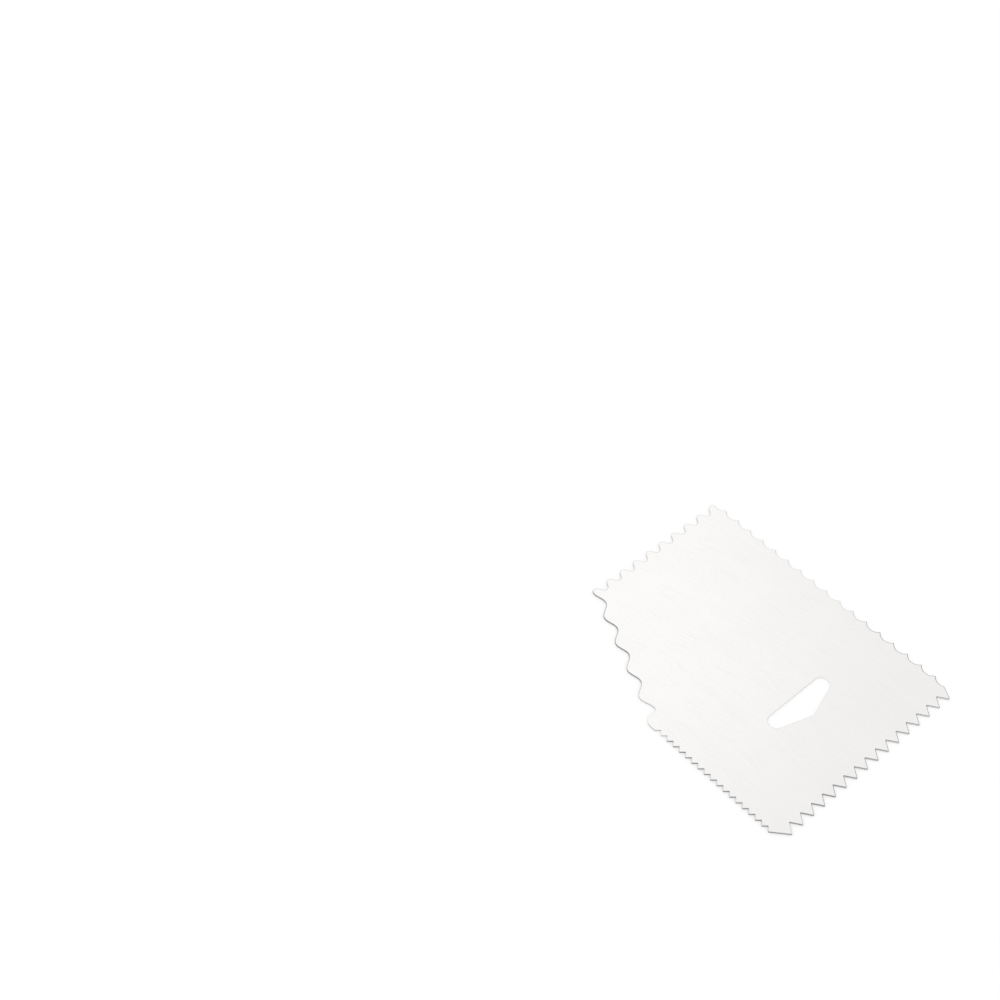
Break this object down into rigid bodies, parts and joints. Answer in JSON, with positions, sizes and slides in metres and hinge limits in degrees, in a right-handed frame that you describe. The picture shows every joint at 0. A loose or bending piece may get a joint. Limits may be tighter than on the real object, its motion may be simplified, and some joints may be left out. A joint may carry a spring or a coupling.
{
  "type": "cake comb",
  "caption": "Flat steel icing comb with V teeth, scallops and waves cut along its sides, a clipped corner and a flat triangular finger slot.",
  "frame": {"origin": "on the underside, at the middle of the plate's bounding box", "axes": "+Z square to the sheet, up from the underside it rests on; +Y along the longer way, from the coarse V teeth to the small wave; +X across, from the fine V teeth to the scallops"},
  "size_m": [0.0848, 0.11, 0.0006],
  "materials": {
    "stainless_steel": "satin, rolled"
  },
  "bodies": {
    "root": {"comb_plate": "stainless_steel"}
  },
  "joints": []
}
